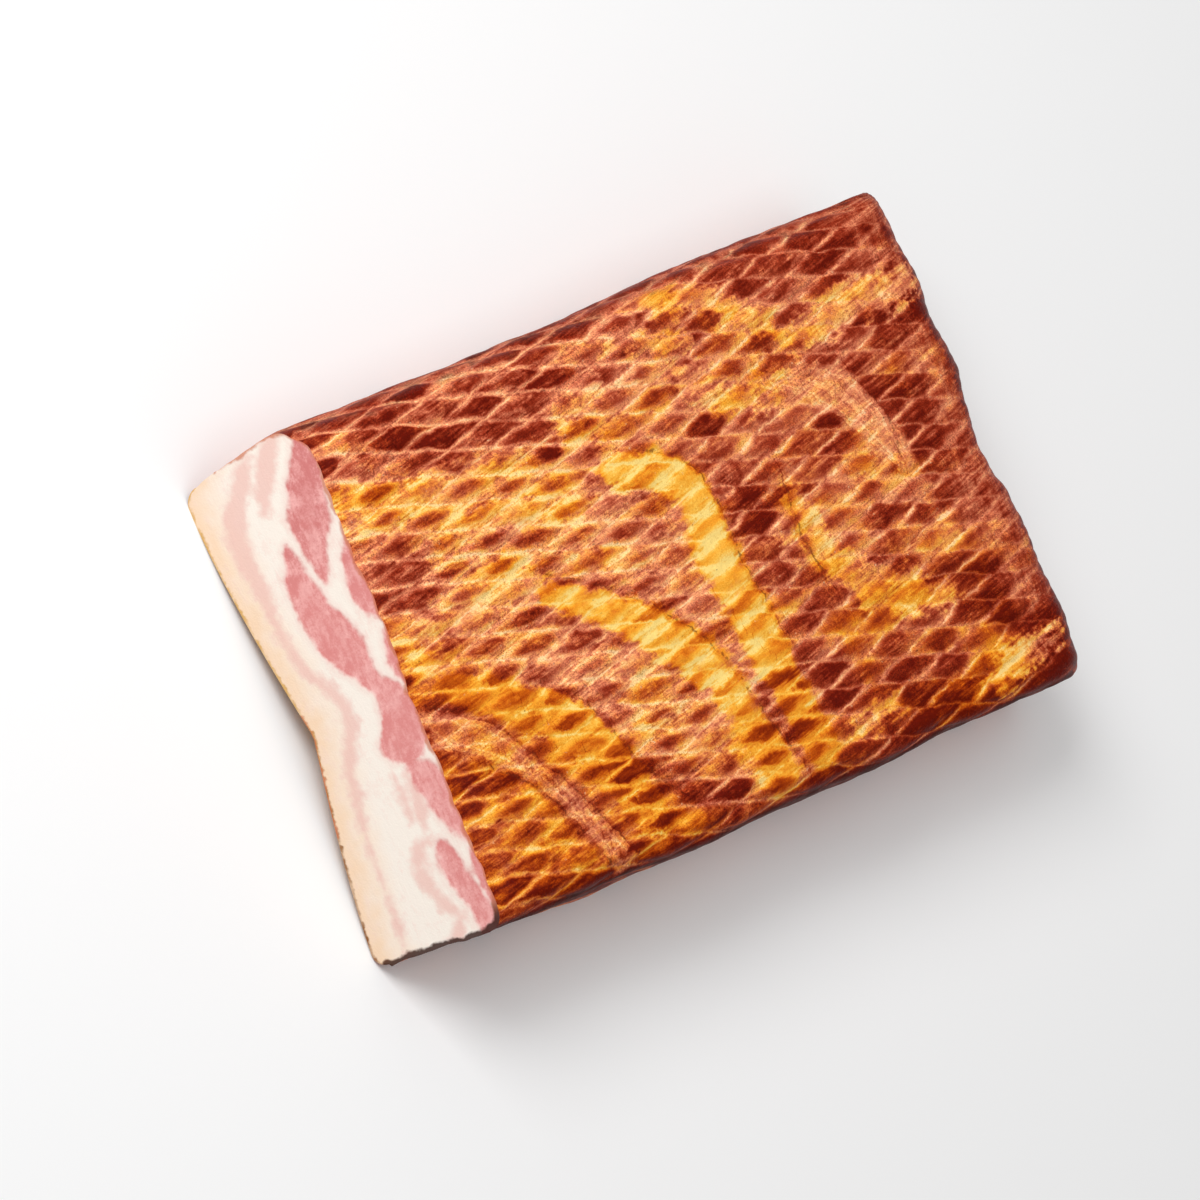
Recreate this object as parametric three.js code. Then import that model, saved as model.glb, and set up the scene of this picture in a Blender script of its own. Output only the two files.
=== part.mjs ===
// A slab of smoked streaky bacon: an unsliced block of cured belly that lies rind side down.
// Millimetres, +Z up. +X runs from the fresh cut to the far end, and +Y across the slab.
// The skin carries the diamond marks of the net that held the belly in the smokehouse.
import * as THREE from 'three';

// The block
const LENGTH = 308; // from the foot of the cut to the far end
const WIDTH = 190;
const THICKNESS = 52;
const SHOULDER = { plus: 16, minus: 9 }; // rounding between the top and each long side
const FOOT_ROUND = 5; // rounding between the sides and the rind underneath
const END_ROUND = 20; // rounding of the top over the far end
const END_CORNER = 5; // plan rounding of the far corners

// The cut face, which leans back so that its foot stands out in front
const CUT_LEAN = THREE.MathUtils.degToRad(23);
const CUT_YAW = THREE.MathUtils.degToRad(2);
const FOOT_TUCK = { plus: 6, minus: 4 }; // how far the sides draw in at the foot of the cut
const TUCK_RUN = 80; // the drawn-in stretch along the slab

// The rind arches up under the cut, to a crease near the middle
const ARCH_HEIGHT = 11;
const ARCH_CREASE = -7.5; // where the crease lies across the slab
const ARCH_HALF_WIDTH = 85;
const ARCH_POWER = 1.5;
const ARCH_RUN = 110;
const ARCH_REACH_UP = 0.6; // share of the thickness that the arch lifts

// The far end, bitten back near the middle: places across the slab, and how far each stands out
const END_OUTLINE = [
  [95, -1.4],
  [76, -0.6],
  [58, 1.8],
  [45, -0.4],
  [24, 1.4],
  [8, -2.4],
  [-6, -4.4],
  [-16, -3.2],
  [-24, -0.4],
  [-40, 0.6],
  [-54, -0.8],
  [-72, 1],
  [-86, -1.6],
  [-95, -2.4],
];
const END_FADE_POWER = 6; // keeps that outline close to the end
const END_FACE_INSETS = [5, 10]; // rings that close the end face, measured in from its outline
const END_FACE_BULGE = 0.2; // how far each ring stands out, as a share of its inset

// The long sides draw in towards the cut, each over its own stretch of the slab
const SIDE_DRAW = {
  plus: { by: 2.8, from: 110, to: 180 },
  minus: { by: 2.5, from: 0, to: 130 },
};

// Net marks: diamonds with their long diagonal along the slab, each one a low pillow
const DIAMOND_LENGTH = 37;
const DIAMOND_WIDTH = 9.8;
const PILLOW_HEIGHT = 1.1;
const PILLOW_FLANK = 0.8; // share of the height halfway up a pillow's flank
const STEPS_PER_DIAMOND = 4;
const ROW_STEP = DIAMOND_LENGTH / STEPS_PER_DIAMOND;
const COLUMN_STEP = DIAMOND_WIDTH / STEPS_PER_DIAMOND;
const BASE_STEP = 7.5; // spacing of the points across the underside

// Swells left where the ribs lay: centre lines across the top, from the middle of the slab
const RIB_HEIGHT = 1.2;
const RIB_HALF_WIDTH = 11;
const RIB_SAMPLES = 24;
const RIB_LINES = [
  [[-62, 38], [-15, 34], [12, 18], [8, -20], [14, -70]],
  [[-90, 16], [-55, 0], [-22, -28], [-2, -62]],
  [[-120, -10], [-92, -28], [-66, -50], [-52, -72]],
  [[50, 4], [56, -18], [84, -42]],
];

// The skin of smoked belly
const SMOKED_RED_BROWN = 0x8a3a20;
const SKIN_ROUGHNESS = 0.45;

const PIECES = ['top', 'shoulder', 'wall', 'foot', 'base'];

const fade = (distance, run) => 1 - THREE.MathUtils.smoothstep(distance, 0, run);

// Sagitta of a rounding of the given radius, at a distance past the point where it starts
function roundingDrop(distance, radius) {
  const share = THREE.MathUtils.clamp(distance / radius, 0, 1);
  return radius * (1 - Math.sqrt(1 - share * share));
}

// The columns of one half of a section, from the middle of the top out and round to the base
function halfColumns(side) {
  const wall = THICKNESS - SHOULDER[side] - FOOT_ROUND;
  const lengths = {
    top: WIDTH / 2 - SHOULDER[side],
    shoulder: (SHOULDER[side] * Math.PI) / 2,
    wall,
    foot: (FOOT_ROUND * Math.PI) / 2,
    base: WIDTH / 2 - FOOT_ROUND,
  };
  return PIECES.flatMap((piece) => {
    const step = piece === 'base' ? BASE_STEP : COLUMN_STEP;
    const count = Math.round(lengths[piece] / step);
    return Array.from({ length: count }, (_, k) => ({ side, piece, share: k / count }));
  });
}

// The whole ring of columns: down the +Y side, along the base and up the -Y side.
// The net index counts from the middle of the top, up on the +Y side and down on the other.
function ringColumns() {
  const plus = halfColumns('plus').map((column, k) => ({ ...column, net: k }));
  const minus = halfColumns('minus').map((column, k) => ({ ...column, net: -k }));
  const middleOfBase = { side: 'minus', piece: 'base', share: 1, net: 0 };
  return [...plus, middleOfBase, ...minus.slice(1).reverse()];
}

// The rows along the slab: over the length of the top, then round the far end
function rows() {
  const straight = LENGTH - END_ROUND;
  const straightCount = Math.round((straight - THICKNESS * Math.tan(CUT_LEAN)) / ROW_STEP);
  const roundCount = Math.round((END_ROUND * Math.PI) / 2 / ROW_STEP);
  const along = [];
  for (let k = 0; k < straightCount; k += 1) along.push((straight * k) / straightCount);
  for (let k = 0; k <= roundCount; k += 1) {
    along.push(straight + END_ROUND * Math.sin((k / roundCount) * (Math.PI / 2)));
  }
  return along;
}

// Point and outward normal of a section column, across (y) and up (z)
function sectionPoint(column, station) {
  const sign = column.side === 'plus' ? 1 : -1;
  const radius = SHOULDER[column.side];
  const pastCorner = station - (LENGTH - END_CORNER);
  const draw = SIDE_DRAW[column.side];
  const drawnIn = draw.by * (1 - THREE.MathUtils.smoothstep(station, draw.from, draw.to));
  const reach = WIDTH / 2 - drawnIn - roundingDrop(pastCorner, END_CORNER);
  const height = THICKNESS - roundingDrop(station - (LENGTH - END_ROUND), END_ROUND);
  const lift = roundingDrop(station - (LENGTH - FOOT_ROUND), FOOT_ROUND);
  const turn = (column.share * Math.PI) / 2;
  const wallTop = height - radius;
  const wallFoot = lift + FOOT_ROUND;
  switch (column.piece) {
    case 'top':
      return { y: sign * (reach - radius) * column.share, z: height, ny: 0, nz: 1 };
    case 'shoulder':
      return {
        y: sign * (reach - radius * (1 - Math.sin(turn))),
        z: wallTop + radius * Math.cos(turn),
        ny: sign * Math.sin(turn),
        nz: Math.cos(turn),
      };
    case 'wall':
      return { y: sign * reach, z: wallTop + (wallFoot - wallTop) * column.share, ny: sign, nz: 0 };
    case 'foot':
      return {
        y: sign * (reach - FOOT_ROUND * (1 - Math.cos(turn))),
        z: lift + FOOT_ROUND * (1 - Math.sin(turn)),
        ny: sign * Math.cos(turn),
        nz: -Math.sin(turn),
      };
    default:
      return { y: sign * (reach - FOOT_ROUND) * (1 - column.share), z: lift, ny: 0, nz: -1 };
  }
}

// Height of the net's pillows at a grid point: grooves where either net index is a whole number
function pillow(row, column) {
  const alongOne = (row + column.net) % STEPS_PER_DIAMOND;
  const alongOther = (row - column.net) % STEPS_PER_DIAMOND;
  if (alongOne === 0 || alongOther === 0) return 0;
  const onCrown = alongOne % 2 === 0;
  return PILLOW_HEIGHT * (onCrown ? 1 : PILLOW_FLANK);
}

const ribPaths = RIB_LINES.map((line) => {
  const points = line.map(([x, y]) => new THREE.Vector3(x, y, 0));
  return new THREE.CatmullRomCurve3(points).getPoints(RIB_SAMPLES);
});

// Height of the rib swells over a point of the top, measured from the middle of the slab
function ribSwell(x, y) {
  const here = new THREE.Vector3(x, y, 0);
  const nearest = Math.min(...ribPaths.flat().map((point) => point.distanceTo(here)));
  return RIB_HEIGHT * fade(nearest, RIB_HALF_WIDTH);
}

function arch(y) {
  const share = Math.max(0, 1 - Math.abs(y - ARCH_CREASE) / ARCH_HALF_WIDTH);
  return ARCH_HEIGHT * share ** ARCH_POWER;
}

// How far the far end stands out at a place across the slab, eased from each place to the next
function endRelief(y) {
  const beyond = END_OUTLINE.findIndex(([place]) => place <= y);
  if (beyond === 0) return END_OUTLINE[0][1];
  if (beyond < 0) return END_OUTLINE.at(-1)[1];
  const [high, outHigh] = END_OUTLINE[beyond - 1];
  const [low, outLow] = END_OUTLINE[beyond];
  return THREE.MathUtils.lerp(outLow, outHigh, THREE.MathUtils.smoothstep(y, low, high));
}

// Carries a section point to its place along the slab, between the leaning cut and the far end
function placeAlong(station, y, z) {
  const toEnd = station / LENGTH;
  const lean = z * Math.tan(CUT_LEAN) + y * Math.tan(CUT_YAW);
  const x = station + (1 - toEnd) * lean + endRelief(y) * toEnd ** END_FADE_POWER;
  return new THREE.Vector3(x - LENGTH / 2, y, z);
}

// A point of the skin, with its relief
function skinPoint(column, row, station) {
  const point = sectionPoint(column, station);
  const onSkin = column.piece !== 'base' && column.piece !== 'foot';
  const place = placeAlong(station, point.y, point.z);
  const relief = onSkin ? pillow(row, column) + ribSwell(place.x, point.y) * point.nz : 0;
  const down = THREE.MathUtils.clamp(1 - point.z / (THICKNESS - SHOULDER[column.side]), 0, 1);
  const outward = column.piece === 'base' ? 1 - column.share : 1;
  const tuck = FOOT_TUCK[column.side] * fade(station, TUCK_RUN) * down * outward;
  const y = point.y + point.ny * relief - Math.sign(point.y) * tuck;
  const low = Math.max(0, 1 - point.z / (ARCH_REACH_UP * THICKNESS));
  const z = point.z + point.nz * relief + arch(y) * fade(station, ARCH_RUN) * low;
  return placeAlong(station, y, z);
}

// Rings set in from the outline of the far end, which close it as a low cushion with a flat middle
function endRings(lastRing) {
  const innermost = Math.max(...END_FACE_INSETS);
  const box = new THREE.Box3().setFromPoints(lastRing);
  const middle = box.getCenter(new THREE.Vector3());
  const half = box.getSize(new THREE.Vector3()).divideScalar(2);
  return END_FACE_INSETS.map((inset) =>
    lastRing.map((point) => {
      const y = THREE.MathUtils.lerp(point.y, middle.y, inset / half.y);
      const z = THREE.MathUtils.lerp(point.z, middle.z, inset / half.z);
      const relief = endRelief(y) * (1 - inset / innermost) + END_FACE_BULGE * inset;
      return new THREE.Vector3(LENGTH / 2 + relief, y, z);
    }),
  );
}

function slabGeometry() {
  const columns = ringColumns();
  const skin = rows().map((station, row) => columns.map((column) => skinPoint(column, row, station)));
  const rings = [...skin, ...endRings(skin.at(-1))];
  const count = columns.length;
  const index = [];
  const face = (a, b, c) => index.push(a, b, c);

  for (let row = 0; row + 1 < rings.length; row += 1) {
    for (let k = 0; k < count; k += 1) {
      const next = (k + 1) % count;
      const near = [row * count + k, row * count + next];
      const far = [near[0] + count, near[1] + count];
      // The quad is split along whichever groove of the net crosses it
      const alongGroove = (row - columns[k].net) % STEPS_PER_DIAMOND === 0;
      if (alongGroove) {
        face(near[0], far[0], far[1]);
        face(near[0], far[1], near[1]);
      } else {
        face(near[0], far[0], near[1]);
        face(near[1], far[0], far[1]);
      }
    }
  }

  const outline = (ring) => ring.map((point) => new THREE.Vector2(-point.y, point.z));
  const lastStart = (rings.length - 1) * count;
  THREE.ShapeUtils.triangulateShape(outline(rings[0]), []).forEach(([a, b, c]) => face(a, b, c));
  THREE.ShapeUtils.triangulateShape(outline(rings.at(-1)), []).forEach(([a, b, c]) =>
    face(lastStart + a, lastStart + c, lastStart + b),
  );

  const geometry = new THREE.BufferGeometry().setFromPoints(rings.flat());
  geometry.setIndex(index);
  return geometry;
}

// Stands the geometry on z = 0, centred over the origin
function standOnOrigin(geometry) {
  geometry.computeBoundingBox();
  const { min, max } = geometry.boundingBox;
  geometry.translate(-(min.x + max.x) / 2, -(min.y + max.y) / 2, -min.z);
  geometry.computeVertexNormals();
  return geometry;
}

const smokedSkin = new THREE.MeshStandardMaterial({
  color: SMOKED_RED_BROWN,
  roughness: SKIN_ROUGHNESS,
  metalness: 0,
});

const slab = new THREE.Mesh(standOnOrigin(slabGeometry()), smokedSkin);
slab.name = 'bacon_slab';

const bacon = new THREE.Group();
bacon.name = 'streaky_bacon';
bacon.add(slab);

export default bacon;
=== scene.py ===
import math
from functools import partial, reduce
from types import SimpleNamespace

import bpy
import numpy as np
from mathutils import Matrix, Vector
from mathutils.geometry import delaunay_2d_cdt


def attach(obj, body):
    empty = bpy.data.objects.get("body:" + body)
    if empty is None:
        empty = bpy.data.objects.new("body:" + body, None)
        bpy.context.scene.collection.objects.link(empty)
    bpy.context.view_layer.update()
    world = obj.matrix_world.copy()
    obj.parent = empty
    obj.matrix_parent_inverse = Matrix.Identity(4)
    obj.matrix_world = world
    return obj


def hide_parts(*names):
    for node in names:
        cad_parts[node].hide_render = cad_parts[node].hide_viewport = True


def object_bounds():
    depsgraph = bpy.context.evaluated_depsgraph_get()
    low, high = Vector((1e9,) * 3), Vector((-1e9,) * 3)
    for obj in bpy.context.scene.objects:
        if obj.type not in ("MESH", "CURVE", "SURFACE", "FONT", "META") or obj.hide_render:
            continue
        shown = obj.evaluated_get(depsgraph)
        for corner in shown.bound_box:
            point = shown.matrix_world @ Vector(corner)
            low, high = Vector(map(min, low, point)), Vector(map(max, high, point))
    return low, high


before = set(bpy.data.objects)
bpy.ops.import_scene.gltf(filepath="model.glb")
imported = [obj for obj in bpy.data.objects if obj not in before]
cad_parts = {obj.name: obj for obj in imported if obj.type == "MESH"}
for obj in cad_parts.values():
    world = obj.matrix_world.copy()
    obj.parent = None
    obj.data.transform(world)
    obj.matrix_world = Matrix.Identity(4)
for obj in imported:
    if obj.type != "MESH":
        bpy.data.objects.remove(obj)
cad_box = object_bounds()

# A slab of smoked streaky bacon: skin marked by the smokehouse net, golden rib fat and a fresh cut.
# Lengths are millimetres until the mesh is made, which is in metres. +X runs from the cut to the far end.
METRES = 0.001
SEED = 7
LATTICE = 64
FAR = 1e3

# The block, as in the solid
LENGTH = 308
WIDTH = 190
THICKNESS = 52
SHOULDER_PLUS = 16
SHOULDER_MINUS = 9
SHOULDER_AT_CORNER, CORNER_RUN = 6, 50
FOOT_ROUND = 5
END_ROUND = 20
END_CORNER = 5
CUT_LEAN = math.tan(math.radians(23))
CUT_YAW = math.tan(math.radians(2))
TUCK_PLUS, TUCK_MINUS, TUCK_RUN = 6, 4, 80
ARCH_HEIGHT, ARCH_CREASE, ARCH_HALF_WIDTH, ARCH_POWER = 11, -7.5, 85, 1.5
ARCH_RUN, ARCH_REACH_UP = 110, 0.6
CRUST_DROOP, CRUST_DROOP_RUN = 1.8, 10
END_FADE_POWER = 6
END_OUTLINE = (
    (-95, -2.4), (-86, -1.6), (-72, 1), (-54, -0.8), (-40, 0.6), (-24, -0.4), (-16, -3.2),
    (-6, -4.4), (8, -2.4), (24, 1.4), (45, -0.4), (58, 1.8), (76, -0.6), (95, -1.4),
)
DRAW_PLUS, DRAW_PLUS_RUN = 2.8, (130, 205)
DRAW_MINUS, DRAW_MINUS_RUN = 2.5, (0, 130)

# How finely the surface is sampled
ROW_STEP = 2.1
COLUMN_STEP = 0.75
BASE_STEP = 3.0
CUT_STEP = 0.72
END_STEP = 2.5
END_INSETS = (1, 2.5, 4.5, 7, 10)
END_BULGE = 0.2
FILL_MARGIN, FILL_MERGE = 0.55, 1e-4
SHARP_ANGLE = math.radians(50)

# Net marks: diamonds along the slab, turned a little against it
DIAMOND_LENGTH, DIAMOND_WIDTH = 36.5, 9.75
NET_START = 13.0
NET_TWIST = 0.0099

# Bulges between the cords, and the share of their height that is left in some places
PILLOW_HEIGHT, PILLOW_POWER = 1.15, 2.4
PILLOW_CHANCE = (0.65, 1.2)
PILLOW_ON_DRY, PILLOW_DRY_EDGE = 0.5, (-2, 5)
PILLOW_ON_RIB, PILLOW_RIB_EDGE = 0.6, (-2, 4)
PILLOW_AT_CUT, PILLOW_CUT_RUN = 0.4, (0, 14)
PILLOW_ON_SIDE, PILLOW_SIDE_SLOPE = 0.45, (0, 0.7)
PILLOW_AT_END, PILLOW_END_RUN = 0.35, (LENGTH - 40, LENGTH - 12)

# Other relief: lumps as (height, size, seed), then the swell of the ribs and the depth of the cracks
LUMPS = ((0.5, 26, 1), (0.25, 9, 2), (0.12, 3.4, 3))
EDGE_LUMPS, EDGE_LUMPS_ACROSS = (1.1, 19, 5), (80, 93)
CUT_LUMPS, CUT_LUMPS_RUN = (0.6, 6, 6), (0, 6)
RIB_SWELL, RIB_SWELL_EDGE = 0.7, (-5, 4)
CRACK_DEPTH, CRACK_EDGE = 0.5, (0.3, 2.0)

# Strokes over the top, as (x, y, half width): bright rib fat, paler fat, dry membrane, pale and dark lean
RIB_FAT = (
    ((-20, 35, 4), (-6, 32, 6.5), (7, 25, 8), (11, 13, 8.5), (10, -5, 9), (12, -30, 9), (13, -48, 8),
     (18, -82, 6)),
    ((-64, 6, 4), (-50, -4, 6), (-38, -13, 7.5), (-26, -24, 9), (-16, -36, 9), (-9, -48, 8), (-3, -84, 6)),
    ((-119, -12, 4), (-105, -20, 5.5), (-91, -28, 7), (-79, -39, 8.5), (-71, -52, 9), (-62, -80, 5)),
)
PALE_FAT = (
    ((50, 4, 3), (54, -8, 4.5), (54, -19, 5), (61, -30, 6), (72, -38, 7.5), (85, -45, 7), (98, -49, 3)),
    ((-129, 60, 5), (-112, 56, 8), (-90, 52, 8), (-70, 46, 9), (-50, 42, 8), (-30, 40, 7), (-18, 37, 5)),
    ((-115, 10, 4), (-98, 13, 7), (-84, 15, 8), (-70, 10, 6), (-62, 5, 5)),
    ((-100, 33, 3), (-75, 37, 5), (-52, 34, 6), (-35, 33, 5)),
    ((-131, 5, 3), (-122, -2, 5), (-112, -8, 6)),
    ((18, 88, 3), (38, 85, 4.5), (52, 80, 4.5), (60, 72, 5), (72, 63, 4)),
    ((-8, 66, 2), (-22, 62, 4), (-28, 55, 5), (-22, 48, 5)),
    ((5, 75, 2.5), (28, 72, 4), (36, 70, 2)),
    ((27, 60, 4), (32, 54, 5.5), (36, 47, 5.5), (46, 43, 5), (58, 41, 4), (66, 44, 2)),
    ((78, 56, 3), (95, 57, 5.5), (112, 60, 6.5), (126, 58, 7), (140, 60, 6)),
    ((103, -86, 3), (117, -81, 4.5), (132, -80, 4), (140, -78, 2)),
    ((36, -82, 2), (44, -79, 4), (54, -78, 2.5)),
    ((-10, -83, 3), (2, -84, 4)),
    ((41, -9, 2.5), (45, -11, 2.5)),
)
MEMBRANE = (
    ((-133, -18, 4), (-122, -27, 6.5), (-110, -36, 6), (-100, -49, 4.5), (-91, -62, 4.5), (-80, -88, 5)),
    ((60, 44, 2), (76, 40, 6), (88, 33, 9), (96, 22, 8), (101, 10, 6), (104, 0, 4)),
)
PALE_LEAN = (
    ((-72, 26, 3), (-55, 20, 8), (-40, 14, 9), (-25, 6, 8), (-14, -8, 6), (-8, -22, 5)),
    ((-92, -8, 5), (-75, -18, 6), (-66, -28, 6), (-55, -42, 5)),
    ((66, 4, 4), (82, -2, 6), (98, -8, 6)),
)
DARK_LEAN = (
    ((-130, 80, 14), (-60, 76, 14), (0, 78, 14), (18, 82, 8)),
    ((70, 82, 10), (100, 80, 14), (140, 80, 16)),
    ((24, 22, 1), (33, 8, 4.5), (38, -8, 5.5), (32, -24, 4)),
    ((134, 40, 8), (130, 10, 14), (132, -20, 14), (134, -60, 12)),
    ((82, 46, 4), (105, 45, 6), (125, 42, 6)),
    ((-128, 40, 6), (-120, 28, 10), (-116, 20, 7)),
    ((30, -50, 5), (38, -64, 11), (50, -85, 9)),
    ((-50, -62, 7), (-42, -75, 9), (-25, -80, 8)),
    ((-4, -40, 2), (2, -52, 4), (4, -64, 6), (9, -76, 4)),
    ((122, 62, 4), (124, 57, 5), (125, 53, 4)),
    ((58, -9, 3), (63, -13, 4.5), (68, -16, 3)),
    ((68, -26, 3), (74, -29, 3.5)),
    ((50, -68, 7), (72, -64, 11), (98, -64, 9)),
    ((78, -13, 4), (86, -16, 4)),
)
# Cracks over the top, as (x, y)
CRACKS = (
    ((-8, 40), (10, 33), (18, 22), (20, 5), (19, -10), (22, -30)),
    ((-62, 12), (-45, 2), (-30, -9), (-14, -26), (-5, -42), (0, -60), (7, -80)),
    ((-82, -22), (-70, -32), (-63, -46), (-58, -60), (-48, -74)),
    ((50, 8), (48, -10), (50, -24)),
    ((100, 34), (106, 18), (104, 2)),
    ((-128, -15), (-118, -21), (-106, -31), (-97, -45), (-88, -58), (-75, -86)),
    ((-116, -42), (-104, -53), (-95, -66), (-85, -90)),
)

# Strokes over the cut face, as (across, up, half thickness): lean, then faint pink streaks in the fat
CUT_LEAN_STROKES = (
    ((87, 47.5, 1.2), (80, 46, 4), (74, 44, 6.2), (67, 42, 7.5), (60, 40, 7.2), (53, 38.3, 5),
     (46, 37.6, 2.9), (39, 37.3, 0.8)),
    ((52, 52, 1.2), (46, 50.5, 3.2), (40, 49, 4.2), (33, 48.5, 4.6), (27, 48.8, 3.8), (22, 51, 1.8)),
    ((56, 28.4, 0.5), (50, 27.8, 2.4), (44, 27.6, 4.4), (36, 28.4, 5.8), (28, 29.8, 6.6), (20, 32.6, 7.6),
     (13, 35.2, 6.6), (6, 37.6, 4.6), (0, 40, 3.8), (-6, 43.5, 5.4), (-14, 44.5, 7.8), (-20, 43, 8.4),
     (-21.5, 38.5, 6)),
    ((15, 50.8, 0.8), (9, 49.6, 2.4), (3, 49.6, 2.6), (-3, 51, 1.2)),
    ((-30.5, 40.4, 2), (-34, 43.5, 4.6), (-39, 45.4, 5.8), (-46, 47, 5.4), (-54, 48.8, 3.9),
     (-61, 50.6, 1.8)),
    ((-60, 39.6, 2.4), (-66, 40, 4), (-72, 41, 4), (-78, 43, 3.8), (-84, 45, 4.2), (-90, 46, 4.6)),
    ((-64, 50, 1.2), (-72, 50.4, 2.4), (-80, 50.6, 2.8), (-87, 50.4, 2.4)),
)
CUT_STREAKS = (
    ((88, 26, 2.5), (80, 20.5, 3.5), (71, 14.5, 4.5), (60, 12.5, 4), (48, 13, 3), (35, 13.5, 2.2),
     (22, 15.5, 2), (13, 18, 2), (6, 22, 2.2), (0, 25, 2.4), (-8, 25.5, 2.4), (-16, 22, 2.2),
     (-24, 18.5, 2), (-35, 16.5, 1.8), (-50, 15, 1.5), (-70, 14, 1.2), (-90, 13, 1)),
    ((90, 38, 3), (84, 33, 4), (76, 28.5, 3.5), (70, 26, 2)),
    ((-32, 37, 1.2), (-38, 39, 2.4), (-45, 38, 2.4), (-51, 36.5, 1.2)),
    ((-32, 33, 1), (-39, 33.6, 2), (-47, 33, 1)),
    ((-56, 36, 1.6), (-57, 31.5, 2.6), (-64, 29, 3.2), (-72, 30, 2.8), (-79, 33.5, 2.4), (-84, 37, 2)),
    ((-83, 37, 1.4), (-88, 34, 2), (-90, 31, 1.4)),
)
CRUST_FROM_PLUS, CRUST_FROM_MINUS, CRUST_LIMIT = 14, 5, 20.0
RIND_LIMIT = 40

# Skin colours from dark to light, as on a screen, for smoked lean and for golden fat
RAMP_PLACES = (0, 0.15, 0.3, 0.45, 0.6, 0.75, 0.88, 1)
LEAN_RAMP = (
    (104, 17, 3), (129, 34, 12), (155, 54, 30), (184, 86, 58),
    (212, 116, 82), (238, 147, 101), (252, 174, 120), (255, 202, 150),
)
GOLD_RAMP = (
    (106, 18, 0), (137, 39, 1), (170, 62, 4), (202, 91, 9),
    (230, 126, 22), (249, 164, 40), (255, 194, 72), (255, 221, 124),
)
# Colour of burnt edges and of painted shade on the -Y side and over the far end
BURNT_AND_SHADE = (50, 16, 8)
# Colour of painted shade inside the cracks
CRACK_SHADE = (100, 30, 12)
# Colour of painted highlights (glints)
PAINTED_GLINT = (255, 220, 172)
SPECK = (80, 26, 8)

# Colours of the cut face and of the rind
FLESH, FLESH_DEEP, FLESH_DEEP_UPPER = (249, 184, 179), (228, 142, 138), (216, 127, 124)
FLESH_VEIN, FLESH_SPOT = (250, 208, 198), (190, 82, 84)
FAT_BY_RIND, FAT_MIDDLE, FAT_WHITE = (253, 220, 187), (255, 234, 214), (255, 244, 232)
FAT_MOTTLE, FAT_STREAK, FAT_BY_LEAN = (250, 216, 203), (243, 192, 180), (248, 210, 200)
CUT_RIND_LOW, CUT_RIND_HIGH = (150, 96, 50), (226, 178, 108)
# At the -Y end the cut's rim is burnt and in painted shade
CUT_RIM, CUT_RIM_BURNT_AND_SHADE = (206, 108, 62), (58, 20, 8)
RIND_PALE, RIND_BROWN, RIND_PORE = (214, 156, 84), (164, 96, 44), (110, 58, 26)

# How light each kind of meat is, as a place on the ramps
TONE_LEFT, TONE_RIGHT, TONE_DARK, TONE_END = 0.575, 0.52, 0.475, 0.13
TONE_STRIP, TONE_DRY, TONE_PALE, TONE_GOLD, TONE_AMBER = 0.62, 0.73, 0.6, 0.82, 0.52
TONE_FAT, TONE_FAT_RIGHT = 0.66, 0.7
# EDGE_SHADE is painted shade along the -Y edge; AMBER_SHADE and LOW_SHADE darken the amber and low parts
AMBER_SHADE, EDGE_SHADE, LOW_SHADE, END_WITHOUT_SHADE = 0.11, 0.16, 0.07, 0.9

# How golden it is, from 0 for lean to 1 for fat
GOLD_LEFT, GOLD_RIGHT, GOLD_DARK, GOLD_END = 0.36, 0.32, 0.05, 0.2
GOLD_STRIP, GOLD_DRY, GOLD_PALE, GOLD_LOW = 0.4, 0.22, 0.28, 0.42
GOLD_LOW_RIGHT, GOLD_LOSS_ON_SIDE, AMBER_IN_DARK = 0.15, 0.34, 0.6

# Where the skin changes along and across the slab, each as (from, to)
LEFT_TO_RIGHT, GOLD_LEFT_TO_RIGHT, MARKS_LEFT_TO_RIGHT = (-20, 50), (-20, 30), (-30, 50)
LEFT_LEAST = 0.15
TO_FAR_END = (105, 135)
LOW_LEFT = (92, 142)
LOW_EDGE, LOW_SLANT, LOW_SLANT_RUN = (45, 75), 0.8, (0, 20)
LOW_AMBER, DRY_WITHOUT_AMBER = 0.6, 0.9
LOW_RIGHT_ALONG, LOW_RIGHT_ACROSS = (35, 65), (10, 40)
EDGE_SHADE_ACROSS, LOW_SHADE_ALONG = (79, 95), (20, 50)
DARK_EDGE, PALE_EDGE, DRY_EDGE = (-6, 5), (-5, 4), (-4, 3)

# The sides: a band and a line of fat, which are dulled, and burnt edges, with painted shade on the -Y side
# and over the far end's rounding
SIDE_SLOPE = (0.2, 0.75)
SIDE_WAVE, SIDE_WAVE_SIZE, SIDE_WAVE_SEED = 4, 34, 4
SIDE_BAND, SIDE_BAND_HALF, SIDE_LINE = 12, 7, 31
SIDE_FAT_MOST, SIDE_DULL_FROM, SIDE_DULLING = 0.6, 0.5, 0.42
SIDE_WITHOUT_RIBS = 8
# Burnt and painted shade on the -Y side, burnt on the +Y shoulder
BURNT_AND_SHADE_MINUS, BURNT_AND_SHADE_MINUS_TURN = 0.9, (0.66, 1)
BURNT_PLUS, BURNT_PLUS_TURN = 0.5, (0.3, 0.8)
# Painted shade, growing as the far end rounds over
SHADE_OVER_END = 0.6
LOW_WALL_SPARED, LOW_WALL = 0.65, (4, 30)

# The camera, fitted to the photograph's outline of the slab
IMAGE_SIDE = 1200
SENSOR = 36
CAMERA_ELEVATION = math.radians(53)
CAMERA_HEADING = math.radians(1.85)
CAMERA_ROLL = math.radians(64.67)
CAMERA_DISTANCE = 2700
CAMERA_AIM = (-24.3, -3.0, 25)
CAMERA_CLIP_END = 10
FOCAL_PIXELS = 7711

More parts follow.
